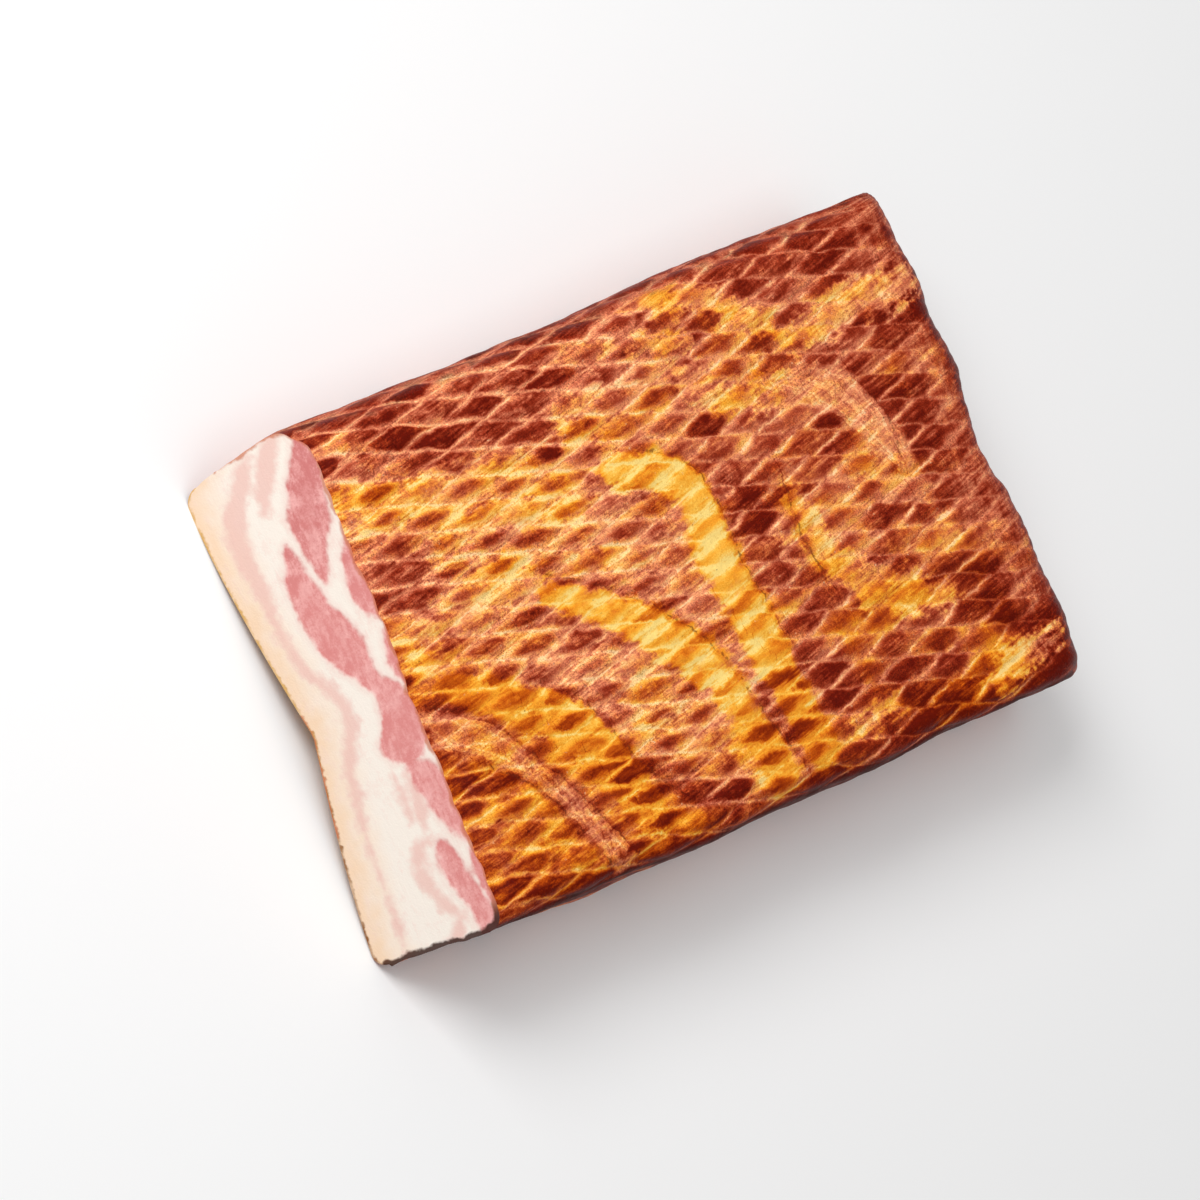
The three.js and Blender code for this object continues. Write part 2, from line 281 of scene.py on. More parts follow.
# The studio, in metres and watts: lamps as (name, place, size, power)
FLOOR_SIZE, FLOOR_COLOUR = 6, (250, 250, 250)
WORLD_STRENGTH = 0.33
LAMPS = (
    ("key", (-0.6, 0.92, 1.1), 0.8, 14.5),
    ("overhead", (0, 0, 1.8), 1.5, 9.5),
)

TOP, SHOULDER, WALL, FOOT, BASE = range(5)
SKIN_MATERIAL, CUT_MATERIAL, RIND_MATERIAL = range(3)


def smoothstep(value, low, high):
    """Goes smoothly from 0 to 1 as the value goes from low to high."""
    share = np.clip((value - low) / (high - low), 0, 1)
    return share * share * (3 - 2 * share)


def toward(start, end, share):
    """The start turned into the end, by a share from 0 to 1."""
    return start + (end - start) * share


def rounding_drop(distance, radius):
    """How far a rounding of that radius has fallen, at a distance past its start."""
    share = np.clip(distance / radius, 0, 1)
    return radius * (1 - np.sqrt(1 - share * share))


def value_noise(points, size, seed):
    """Smooth noise from -1 to 1 with features of that size, the same on each run."""
    lattice = np.random.default_rng(SEED + seed).uniform(-1, 1, (LATTICE, LATTICE, LATTICE))
    scaled = points / size
    corner = np.floor(scaled).astype(int)
    share = smoothstep(scaled - corner, 0, 1)
    total = np.zeros(points.shape[:-1])
    for step in np.ndindex(2, 2, 2):
        weight = np.prod(np.where(np.array(step) == 1, share, 1 - share), axis=-1)
        place = (corner + step) % LATTICE
        total += weight * lattice[place[..., 0], place[..., 1], place[..., 2]]
    return total


def smooth_line(points, per_span=6):
    """Points along a Catmull-Rom curve through the given ones, in any number of dimensions."""
    points = np.array(points, float)
    padded = np.vstack([2 * points[0] - points[1], points, 2 * points[-1] - points[-2]])
    shares = np.linspace(0, 1, per_span, endpoint=False)[:, None]
    spans = []
    for a, b, c, d in zip(padded, padded[1:], padded[2:], padded[3:]):
        bend = (2 * a - 5 * b + 4 * c - d) * shares**2 + (3 * b - a - 3 * c + d) * shares**3
        spans.append(b + 0.5 * ((c - a) * shares + bend))
    return np.vstack([*spans, points[-1:]])


def nearest_on_span(a, b, start, end):
    """How far along a straight span the nearest point lies, from 0 to 1, and the distance to it."""
    across, up = end[0] - start[0], end[1] - start[1]
    along = ((a - start[0]) * across + (b - start[1]) * up) / (across**2 + up**2)
    share = np.clip(along, 0, 1)
    return share, np.hypot(a - start[0] - share * across, b - start[1] - share * up)


def inside_stroke(a, b, stroke):
    """Distance in from the edge of a stroke, negative outside it."""
    line = smooth_line(stroke)
    deepest = np.full(a.shape, -FAR)
    for start, end in zip(line, line[1:]):
        share, distance = nearest_on_span(a, b, start, end)
        deepest = np.maximum(deepest, toward(start[2], end[2], share) - distance)
    return deepest


def inside_any(a, b, strokes, limit=15):
    """Distance in from the edge of the nearest of several strokes, kept within a limit."""
    return np.clip(np.max([inside_stroke(a, b, stroke) for stroke in strokes], axis=0), -limit, limit)


def signed_distance(a, b, lines, limit=15):
    """Distance to the nearest of several lines, with opposite signs on its two sides."""
    nearest = np.full(a.shape, FAR)
    for points in lines:
        line = smooth_line(points)
        for start, end in zip(line, line[1:]):
            _, distance = nearest_on_span(a, b, start, end)
            turn = (a - start[0]) * (end[1] - start[1]) - (b - start[1]) * (end[0] - start[0])
            side = np.where(turn > 0, 1, -1)
            nearest = np.where(distance < np.abs(nearest), side * distance, nearest)
    return np.clip(nearest, -limit, limit)


def half_columns(sign):
    """Side, piece, share along the piece and distance round the skin of each column of half a section."""
    radius = SHOULDER_PLUS if sign > 0 else SHOULDER_MINUS
    lengths = (
        WIDTH / 2 - radius,
        radius * math.pi / 2,
        THICKNESS - radius - FOOT_ROUND,
        FOOT_ROUND * math.pi / 2,
        WIDTH / 2 - FOOT_ROUND,
    )
    columns = []
    start = 0
    for piece, length in enumerate(lengths):
        count = round(length / (BASE_STEP if piece == BASE else COLUMN_STEP))
        columns += [(sign, piece, k / count, sign * (start + length * k / count)) for k in range(count)]
        start += length
    return columns


def ring_columns():
    """Columns right round the slab: down the +Y side, along the base and up the -Y side."""
    plus, minus = half_columns(1), half_columns(-1)
    middle_of_base = (-1, BASE, 1.0, -WIDTH)
    return np.array([*plus, middle_of_base, *minus[:0:-1]]).T


def row_stations():
    """Stations along the slab and, for each, how far over the far end's rounding it lies, as an angle."""
    straight = LENGTH - END_ROUND
    along = np.linspace(0, straight, round(straight / ROW_STEP), endpoint=False)
    angles = np.linspace(0, math.pi / 2, round(END_ROUND * math.pi / 2 / ROW_STEP))
    stations = np.concatenate([along, straight + END_ROUND * np.sin(angles)])
    return stations, np.concatenate([np.zeros(len(along)), angles])


def end_relief(y):
    """How far the far end stands out at a place across the slab, eased from each place to the next."""
    places, out = np.array(END_OUTLINE).T
    span = np.clip(np.searchsorted(places, y, side="right") - 1, 0, len(places) - 2)
    return toward(out[span], out[span + 1], smoothstep(y, places[span], places[span + 1]))


def place_along(station, y, z):
    """Where a section point lies along the slab, between the leaning cut and the far end."""
    to_end = station / LENGTH
    lean = z * CUT_LEAN + y * CUT_YAW
    return station + (1 - to_end) * lean + end_relief(y) * to_end**END_FADE_POWER - LENGTH / 2


def arch(y):
    """How high the rind arches under the cut."""
    share = np.maximum(0, 1 - np.abs(y - ARCH_CREASE) / ARCH_HALF_WIDTH)
    return ARCH_HEIGHT * share**ARCH_POWER


def half_width(station, sign):
    """Half the slab's width on one side, drawn in by the net near the cut and rounded at the far corner."""
    drawn_in = np.where(
        sign > 0,
        DRAW_PLUS * (1 - smoothstep(station, *DRAW_PLUS_RUN)),
        DRAW_MINUS * (1 - smoothstep(station, *DRAW_MINUS_RUN)),
    )
    return WIDTH / 2 - drawn_in - rounding_drop(station - (LENGTH - END_CORNER), END_CORNER)


def shoulder(station, sign):
    """Radius between the top and a long side, tighter towards the far corner."""
    to_corner = smoothstep(station, LENGTH - CORNER_RUN, LENGTH)
    return np.where(sign > 0, toward(SHOULDER_PLUS, SHOULDER_AT_CORNER, to_corner), SHOULDER_MINUS)


def edge_of_top(station, sign):
    """Where the flat top ends across the slab."""
    return sign * (half_width(station, sign) - shoulder(station, sign))


def plain_sections(station, sign, piece, share):
    """Across, up and the outward normal of every column at every station, before any relief."""
    radius = shoulder(station, sign)
    reach = half_width(station, sign)
    height = THICKNESS - rounding_drop(station - (LENGTH - END_ROUND), END_ROUND)
    lift = rounding_drop(station - (LENGTH - FOOT_ROUND), FOOT_ROUND)
    sine, cosine = np.sin(share * math.pi / 2), np.cos(share * math.pi / 2)
    none, full = 0 * share, 1 + 0 * share
    wall_top, wall_foot = height - radius, lift + FOOT_ROUND
    shape = np.broadcast_shapes(station.shape, share.shape)
    pick = [np.broadcast_to(piece == kind, shape) for kind in (TOP, SHOULDER, WALL, FOOT, BASE)]
    across = np.select(pick, [
        (reach - radius) * share,
        reach - radius * (1 - sine),
        reach + none,
        reach - FOOT_ROUND * (1 - cosine),
        (reach - FOOT_ROUND) * (1 - share),
    ])
    up = np.select(pick, [
        height + none,
        wall_top + radius * cosine,
        toward(wall_top, wall_foot, share),
        lift + FOOT_ROUND * (1 - sine),
        lift + none,
    ])
    normal_across = np.select(pick, [none, sine, full, cosine, none])
    normal_up = np.select(pick, [full, cosine, none, -sine, -full])
    return sign * across, up, sign * normal_across, normal_up


def net_coordinates(x, round_skin):
    """The two net indices, whole numbers along the net's cords."""
    along = (x - NET_START) * 2 / DIAMOND_LENGTH
    across = (round_skin + NET_TWIST * x) * 2 / DIAMOND_WIDTH
    return (along + across) / 2, (along - across) / 2


def pillow(p, q):
    """Height of the bulge between the cords, from 0 on a cord to 1 mid diamond, uneven from cell to cell."""
    u, v = 2 * np.abs(p - np.round(p)), 2 * np.abs(q - np.round(q))
    bulge = (1 - (1 - u) ** PILLOW_POWER) * (1 - (1 - v) ** PILLOW_POWER)
    cells = np.random.default_rng(SEED).uniform(*PILLOW_CHANCE, (LATTICE, LATTICE))
    return bulge * cells[np.floor(p).astype(int) % LATTICE, np.floor(q).astype(int) % LATTICE]


def skin_areas(x, y, z, slope, wave):
    """Where each kind of meat shows: shares from 0 to 1, and for some a distance in from its edge."""
    areas = SimpleNamespace()
    areas.ribs = inside_any(x, y, RIB_FAT)
    areas.membrane = inside_any(x, y, MEMBRANE)
    areas.crack = signed_distance(x, y, CRACKS)
    areas.side = 1 - smoothstep(slope, *SIDE_SLOPE)
    areas.dark = np.maximum(smoothstep(inside_any(x, y, DARK_LEAN), *DARK_EDGE), areas.side)
    areas.pale = smoothstep(inside_any(x, y, PALE_LEAN), *PALE_EDGE)
    areas.dry = smoothstep(areas.membrane, *DRY_EDGE)
    areas.right = smoothstep(x, *LEFT_TO_RIGHT)
    areas.far_end = smoothstep(x, *TO_FAR_END)
    areas.low_left = smoothstep(-x - y, *LOW_LEFT)
    areas.low = LOW_AMBER * smoothstep(LOW_SLANT * np.clip(x, *LOW_SLANT_RUN) - y, *LOW_EDGE)
    areas.not_dry = 1 - DRY_WITHOUT_AMBER * areas.dry
    areas.amber = np.maximum(areas.low_left, areas.low) * areas.not_dry
    side_band = np.minimum(SIDE_BAND_HALF - np.abs(z - SIDE_BAND - wave), SIDE_FAT_MOST)
    side_fat = np.maximum(side_band, -np.abs(z - SIDE_LINE - wave))
    areas.fat = inside_any(x, y, PALE_FAT) * (1 - areas.side) + side_fat * areas.side
    return areas


def skin_tone(x, y, areas):
    """How light the skin is, as a place on the ramps, with painted shade along the -Y edge."""
    tone = toward(TONE_LEFT, TONE_RIGHT, areas.right)
    tone = toward(tone, TONE_END, areas.far_end)
    tone = toward(tone, TONE_PALE, areas.pale)
    tone = toward(tone, toward(TONE_STRIP, TONE_DRY, areas.right), areas.dry)
    tone = toward(tone, TONE_DARK, areas.dark)
    # Painted shade along the -Y edge, with darker amber and low parts
    shade = AMBER_SHADE * areas.low_left * areas.not_dry + EDGE_SHADE * smoothstep(-y, *EDGE_SHADE_ACROSS)
    shade = shade + LOW_SHADE * areas.low * smoothstep(x, *LOW_SHADE_ALONG)
    return tone - shade * (1 - END_WITHOUT_SHADE * areas.far_end)


def skin_gold(x, y, areas):
    """How golden the skin is, from about 0 for lean to 1 for fat."""
    gold = toward(GOLD_LEFT, GOLD_RIGHT, smoothstep(x, *GOLD_LEFT_TO_RIGHT)) + GOLD_LOW * areas.amber
    gold = gold + GOLD_LOW_RIGHT * smoothstep(x, *LOW_RIGHT_ALONG) * smoothstep(-y, *LOW_RIGHT_ACROSS)
    gold = toward(gold, GOLD_END, areas.far_end)
    gold = toward(gold, GOLD_PALE, areas.pale)
    gold = toward(gold, toward(GOLD_STRIP, GOLD_DRY, areas.right), areas.dry)
    gold = toward(gold, GOLD_DARK, areas.dark * (1 - AMBER_IN_DARK * areas.amber))
    return gold - GOLD_LOSS_ON_SIDE * areas.side


def skin_burnt(z, normal_y, sign, angle, wave):
    """How dark the edges are made, from 0 to 1: burnt on the +Y shoulder, burnt and in painted shade on the
    -Y side, less towards its foot, and in painted shade over the far end's rounding.
    """
    low_wall = LOW_WALL_SPARED * smoothstep(THICKNESS - z + wave, *LOW_WALL)
    # The -Y side: partly burnt, partly painted shade on the side turned from the light
    minus = BURNT_AND_SHADE_MINUS * smoothstep(-normal_y, *BURNT_AND_SHADE_MINUS_TURN) * (1 - low_wall)
    plus = BURNT_PLUS * smoothstep(normal_y, *BURNT_PLUS_TURN)
    # The far end's rounding gets painted shade as it turns over
    return np.maximum(np.where(sign < 0, minus, plus), SHADE_OVER_END * np.sin(angle) ** 2)


def lumps(points, height, size, seed):
    return height * value_noise(points, size, seed)


def skin_relief(points, station, normal_z, bulge, areas):
    """How far the skin stands out: net bulges, swelling ribs, lumps and cracks."""
    facing_up = np.clip(normal_z, 0, 1)
    net = PILLOW_HEIGHT * toward(1, PILLOW_ON_DRY, smoothstep(areas.membrane, *PILLOW_DRY_EDGE))
    net = net * toward(1, PILLOW_ON_RIB, smoothstep(areas.ribs, *PILLOW_RIB_EDGE))
    net = net * toward(PILLOW_AT_CUT, 1, smoothstep(station, *PILLOW_CUT_RUN))
    net = net * toward(PILLOW_ON_SIDE, 1, smoothstep(normal_z, *PILLOW_SIDE_SLOPE))
    net = net * toward(1, PILLOW_AT_END, smoothstep(station, *PILLOW_END_RUN))
    swell = RIB_SWELL * smoothstep(areas.ribs, *RIB_SWELL_EDGE) * facing_up
    uneven = sum(lumps(points, *kind) for kind in LUMPS)
    uneven = uneven + lumps(points, *EDGE_LUMPS) * smoothstep(-points[..., 1], *EDGE_LUMPS_ACROSS)
    uneven = uneven + lumps(points, *CUT_LUMPS) * (1 - smoothstep(station, *CUT_LUMPS_RUN))
    fissure = CRACK_DEPTH * (1 - smoothstep(np.abs(areas.crack), *CRACK_EDGE)) * facing_up
    return net * bulge + swell + uneven - fissure


def skin_grid():
    """Points of the skin, row by row, the fields that its material reads, and each column's piece."""
    stations, angles = row_stations()
    sign, piece, share, round_skin = ring_columns()
    station, angle = stations[:, None], angles[:, None]
    y, z, normal_y, normal_z = plain_sections(station, sign, piece, share)
    x = place_along(station, y, z)
    radius = np.where(sign > 0, SHOULDER_PLUS, SHOULDER_MINUS)
    over_end = END_ROUND * (angle - np.sin(angle))
    past_top = round_skin - sign * (WIDTH / 2 - radius)
    skin_reach = np.where(piece == TOP, y, edge_of_top(station, sign) + past_top)
    p, q = net_coordinates(x + over_end, skin_reach)

    points = np.stack([x, y, z], -1)
    wave = lumps(points, SIDE_WAVE, SIDE_WAVE_SIZE, SIDE_WAVE_SEED)
    areas = skin_areas(x, y, z, normal_z * np.cos(angle), wave)
    fields = {
        "net_p": p,
        "net_q": q,
        "tone": skin_tone(x, y, areas),
        "fat": areas.fat,
        "ribs": areas.ribs - SIDE_WITHOUT_RIBS * areas.side,
        "amber": areas.amber,
        "gold": skin_gold(x, y, areas),
        "membrane": areas.membrane,
        "side": areas.side,
        "crack": areas.crack,
        "burnt": skin_burnt(z, normal_y, sign, angle, wave),
    }
    relief = np.where(piece >= FOOT, 0, skin_relief(points, station, normal_z, pillow(p, q), areas))

    facing_up = np.clip(normal_z, 0, 1)
    down = np.clip(1 - z / (THICKNESS - radius), 0, 1)
    outward = np.where(piece == BASE, 1 - share, 1)
    near_cut = 1 - smoothstep(station, 0, TUCK_RUN)
    tuck = np.where(sign > 0, TUCK_PLUS, TUCK_MINUS) * near_cut * down * outward
    droop = CRUST_DROOP * (1 - smoothstep(station, 0, CRUST_DROOP_RUN)) * facing_up
    y = y + normal_y * relief - np.sign(y) * tuck
    near_base = np.maximum(0, 1 - z / (ARCH_REACH_UP * THICKNESS))
    arched = arch(y) * (1 - smoothstep(station, 0, ARCH_RUN)) * near_base
    z = z - droop + normal_z * np.cos(angle) * relief + arched
    x = place_along(station, y, z) + facing_up * np.sin(angle) * relief
    return np.stack([x, y, np.maximum(z, 0)], -1), fields, piece


def end_net_coordinates(y, z):
    """The net indices on the face of the far end, carried on from the top."""
    return net_coordinates(LENGTH / 2 + END_ROUND * (math.pi / 2 - 1) + THICKNESS - END_ROUND - z, y)


def end_rings(last, fields):
    """Rings set in from the outline of the far end, with the fields carried over."""
    low, high = last.min(0), last.max(0)
    middle, half = (low + high) / 2, (high - low) / 2
    rings = []
    for inset in END_INSETS:
        y = last[:, 1] + (middle[1] - last[:, 1]) * inset / half[1]
        z = last[:, 2] + (middle[2] - last[:, 2]) * inset / half[2]
        x = LENGTH / 2 + end_relief(y) * (1 - inset / END_INSETS[-1]) + END_BULGE * inset
        rings.append(np.stack([x, y, z], -1))
    rings = np.array(rings)
    carried = {name: np.repeat(values[-1:], len(rings), axis=0) for name, values in fields.items()}
    carried["net_p"], carried["net_q"] = end_net_coordinates(rings[..., 1], rings[..., 2])
    return rings, carried


def inside_outline(points, outline, margin):
    """Which points lie inside a closed outline, at least that far from it."""
    inside = np.zeros(len(points), bool)
    distance = np.full(len(points), np.inf)
    for a, b in zip(outline, np.roll(outline, -1, axis=0)):
        step = b - a
        crosses = (a[1] > points[:, 1]) != (b[1] > points[:, 1])
        rise = step[1] if step[1] else 1
        inside ^= crosses & (points[:, 0] < a[0] + step[0] * (points[:, 1] - a[1]) / rise)
        distance = np.minimum(distance, nearest_on_span(*points.T, a, b)[1])
    return inside & (distance > margin)


def fill_ring(ring, step):
    """Points inside a closed ring, across and up at that spacing, and triangles that fill it."""
    outline = ring[:, 1:] * (-1, 1)
    low, high = outline.min(0), outline.max(0)
    rows = np.arange(low[1], high[1], step * math.sqrt(0.75))
    grid = [(a + step / 2 * (k % 2), b) for k, b in enumerate(rows) for a in np.arange(low[0], high[0], step)]
    grid = np.array(grid)
    grid = grid[inside_outline(grid, outline, FILL_MARGIN * step)]
    everything = [Vector(point) for point in np.vstack([outline, grid])]
    border = list(range(len(outline)))
    found = delaunay_2d_cdt(everything, [], [border], 1, FILL_MERGE)
    index = [origins[0] for origins in found[3]]
    return -grid[:, 0], grid[:, 1], [[index[k] for k in face] for face in found[2]]


def layers_of_cut(y, z, outline, base):
    """Fields that the cut's material reads, from a place across and up the cut face."""
    crust = outline[outline[:, 1] > np.where(outline[:, 0] > 0, CRUST_FROM_PLUS, CRUST_FROM_MINUS)]
    to_crust = np.full(len(y), CRUST_LIMIT)
    for across, up in crust:
        to_crust = np.minimum(to_crust, np.hypot(y - across, z - up))
    return {
        "lean": inside_any(y, z, CUT_LEAN_STROKES),
        "streak": inside_any(y, z, CUT_STREAKS),
        "over_rind": np.clip(z - np.interp(y, *base.T), 0, RIND_LIMIT),
        "to_crust": to_crust,
        "across": y / WIDTH,
    }


def linear(value):
    """One channel of a colour on the screen, from 0 to 255, as a linear one."""
    return value / 255 / 12.92 if value <= 10 else ((value / 255 + 0.055) / 1.055) ** 2.4


def srgb(red, green, blue):
    """A colour on the screen, from 0 to 255, as a linear one."""
    return linear(red), linear(green), linear(blue), 1


class Graph:
    """A material's nodes, built by short calls. A value is a number or another node's output."""

    def __init__(self, name):
        self.material = bpy.data.materials.new(name)
        self.material.use_nodes = True
        self.tree = self.material.node_tree
        self.shader = self.tree.nodes["Principled BSDF"]
        self.place = self.node("TexCoord").outputs["Object"]

    def node(self, kind):
        return self.tree.nodes.new("ShaderNode" + kind)

    def feed(self, socket, value):
        """Sets a socket to a number, or links it to an output."""
        if isinstance(value, bpy.types.NodeSocket):
            self.tree.links.new(value, socket)
        else:
            socket.default_value = value

    def paint(self, socket, colour):
        """Feeds a colour, which may be given as on a screen, from 0 to 255."""
        self.feed(socket, srgb(*colour) if isinstance(colour, tuple) else colour)

    def math(self, operation, *values):
        node = self.node("Math")
        node.operation = operation
        for socket, value in zip(node.inputs, values):
            self.feed(socket, value)
        return node.outputs[0]

    def times(self, *values):
        return reduce(partial(self.math, "MULTIPLY"), values)

    def add(self, *terms):
        """The sum of the terms, where a tuple stands for the product of its values."""
        values = [self.times(*term) if isinstance(term, tuple) else term for term in terms]
        return reduce(partial(self.math, "ADD"), values)

    def minus(self, first, second):
        return self.math("SUBTRACT", first, second)

    def blend(self, share, first, second):
        """The first value turned into the second."""
        return self.add(first, (share, self.minus(second, first)))

    def rise(self, value, low, high, start=0.0, end=1.0):
        """Goes smoothly from start to end as the value goes from low to high."""
        node = self.node("MapRange")
        node.interpolation_type = "SMOOTHSTEP"
        for socket, given in zip(node.inputs, (value, low, high, start, end)):
            self.feed(socket, given)
        return node.outputs[0]

    def mix(self, share, first, second):
        """The first colour turned into the second. The node's colour sockets are told apart by number."""
        node = self.node("Mix")
        node.data_type = "RGBA"
        self.feed(node.inputs[0], share)
        self.paint(node.inputs[6], first)
        self.paint(node.inputs[7], second)
        return node.outputs[2]

    def scaled(self, colour, factor):
        """A colour made lighter or darker."""
        node = self.node("VectorMath")
        node.operation = "SCALE"
        self.feed(node.inputs[0], colour)
        self.feed(node.inputs["Scale"], factor)
        return node.outputs[0]

    def ramp(self, value, colours):
        """A colour read from a ramp."""
        node = self.node("ValToRGB")
        elements = node.color_ramp.elements
        for place in RAMP_PLACES[1:-1]:
            elements.new(place)
        for element, place, colour in zip(elements, RAMP_PLACES, colours):
            element.position = place
            element.color = srgb(*colour)
        self.feed(node.inputs[0], value)
        return node.outputs[0]

    def field(self, name):
        node = self.node("Attribute")
        node.attribute_name = name
        return node.outputs["Fac"]

    def split(self, vector):
        node = self.node("SeparateXYZ")
        self.feed(node.inputs[0], vector)
        return node.outputs

    def join(self, first, second):
        node = self.node("CombineXYZ")
        self.feed(node.inputs[0], first)
        self.feed(node.inputs[1], second)
        return node.outputs[0]

    def along(self):
        """How far along the slab a point lies, in millimetres."""
        return self.times(self.split(self.place)["X"], 1 / METRES)

    def centred(self, output):
        """A value from 0 to 1, moved to lie about 0."""
        return self.minus(output, 0.5)

    def noise_node(self, dimensions, scale, vector):
        node = self.node("TexNoise")
        node.noise_dimensions = dimensions
        node.inputs["Scale"].default_value = scale
        self.feed(node.inputs["Vector"], vector)
        return node

    def noise(self, size, detail=2.0, stretch=(1, 1, 1), shift=0.0):
        """Noise about 0, from -0.5 to 0.5, with features of that size in millimetres."""
        mapping = self.node("Mapping")
        self.feed(mapping.inputs["Vector"], self.place)
        mapping.inputs["Scale"].default_value = stretch
        node = self.noise_node("4D", 1 / (size * METRES), mapping.outputs[0])
        node.inputs["W"].default_value = shift
        node.inputs["Detail"].default_value = detail
        return self.centred(node.outputs["Fac"])

    def noises(self, size):
        """Three separate noises about 0, with features of that size in millimetres."""
        node = self.noise_node("3D", 1 / (size * METRES), self.place)
        return [self.centred(output) for output in self.split(node.outputs["Color"])]

    def net_streaks(self, first, second):
        """Noise about 0 over two net coordinates."""
        return self.centred(self.noise_node("2D", 1, self.join(first, second)).outputs["Fac"])

    def strands(self, distance, width):
        """Noise about 0 in strands of that width, side by side as the distance grows."""
        node = self.node("TexNoise")
        node.noise_dimensions = "1D"
        self.feed(node.inputs["W"], distance)
        node.inputs["Scale"].default_value = 1 / width
        return self.centred(node.outputs["Fac"])

    def cell_chances(self, p, q):
        """Three numbers about 0, from -0.5 to 0.5, that are the same all over one cell of the net."""
        node = self.node("TexWhiteNoise")
        node.noise_dimensions = "2D"
        self.feed(node.inputs["Vector"], self.join(self.math("FLOOR", p), self.math("FLOOR", q)))
        return [self.centred(output) for output in self.split(node.outputs["Color"])]

    def bump(self, height, distance):
        node = self.node("Bump")
        node.inputs["Strength"].default_value = 1
        node.inputs["Distance"].default_value = distance * METRES
        self.feed(node.inputs["Height"], height)
        return node.outputs[0]

    def finish(self, colour, roughness, normal, specular):
        self.paint(self.shader.inputs["Base Color"], colour)
        self.feed(self.shader.inputs["Roughness"], roughness)
        self.feed(self.shader.inputs["Normal"], normal)
        self.feed(self.shader.inputs["Specular IOR Level"], specular)
        return self.material


def skin_values(g):
    """The noises, net cells and kinds of meat that the skin's colours are mixed from."""
    s = SimpleNamespace()
    s.fine, s.grain, s.patch, s.broad = [g.noise(size) for size in (0.55, 1.7, 6.5, 24)]
    along = g.along()
    s.left = g.rise(along, *MARKS_LEFT_TO_RIGHT, 1.0, LEFT_LEAST)
    s.to_end = g.rise(along, *TO_FAR_END)
    s.amber, s.side = g.field("amber"), g.field("side")
    read_net(g, s)
    read_meat(g, s)
    return s


def by_part(g, s, at_right, at_left):
    """A value for the right part of the slab that turns into another in the left part."""
    return g.rise(s.left, LEFT_LEAST, 1, at_right, at_left)


def read_net(g, s):
    """Places in the net's cells, which wander and lean more at the right, and streaks along its cords."""
    warp_p, warp_q, s.worn = g.noises(16)
    net_p, net_q = g.field("net_p"), g.field("net_q")
    p = g.add(net_p, (warp_p, 0.45), (s.patch, 0.15), (s.grain, 0.12))
    q = g.add(net_q, (warp_q, 0.45), (s.patch, -0.15), (s.grain, 0.12))
    q = g.add(q, (g.centred(g.math("FRACT", p)), by_part(g, s, 0.16, 0)))
    s.u = g.times(g.math("PINGPONG", p, 0.5), 2)
    s.v = g.times(g.math("PINGPONG", q, 0.5), 2)
    s.past_cord = g.math("FRACT", q)
    s.darker, s.bigger, s.richer = g.cell_chances(p, q)
    drawn = g.noise(3, 2, (0.3, 1, 1))
    along_cord = g.net_streaks(g.times(net_p, 0.9), g.times(net_q, 3.6))
    s.fibre = g.net_streaks(g.times(net_p, 2.4), g.times(net_q, 11))
    s.streaks = g.add((drawn, s.left), (along_cord, by_part(g, s, 0.65, 0.4)))


def read_meat(g, s):
    """Shares of rib, fat and dry membrane with ragged edges, how light the meat is, and how dark its edges
    are from burning and painted shade.
    """
    wave = g.add((s.patch, 10), (s.streaks, 9), (s.grain, 5))
    s.ribs = g.rise(g.add(g.field("ribs"), (wave, 0.5)), -3.2, 2.6)
    s.fat = g.rise(g.add(g.field("fat"), (wave, 1.2)), -4, 3)
    membrane = g.rise(g.add(g.field("membrane"), wave), -4, 4)
    s.dry = g.times(membrane, g.rise(s.ribs, 0, 1, 1, 0.2))
    fat_tone = by_part(g, s, TONE_FAT_RIGHT, TONE_FAT)
    rib_tone = g.rise(s.amber, 0, 0.6, TONE_GOLD, TONE_AMBER)
    s.tone = g.blend(s.ribs, g.blend(s.fat, g.field("tone"), fat_tone), rib_tone)
    charred_and_shaded = g.add(g.field("burnt"), (s.patch, 1.1), (s.grain, 0.7), (s.streaks, 1.2))
    s.burnt = g.rise(charred_and_shaded, 0.2, 1.1)
    s.crack = g.math("ABSOLUTE", g.add(g.field("crack"), (s.grain, 3), (s.patch, 3)))


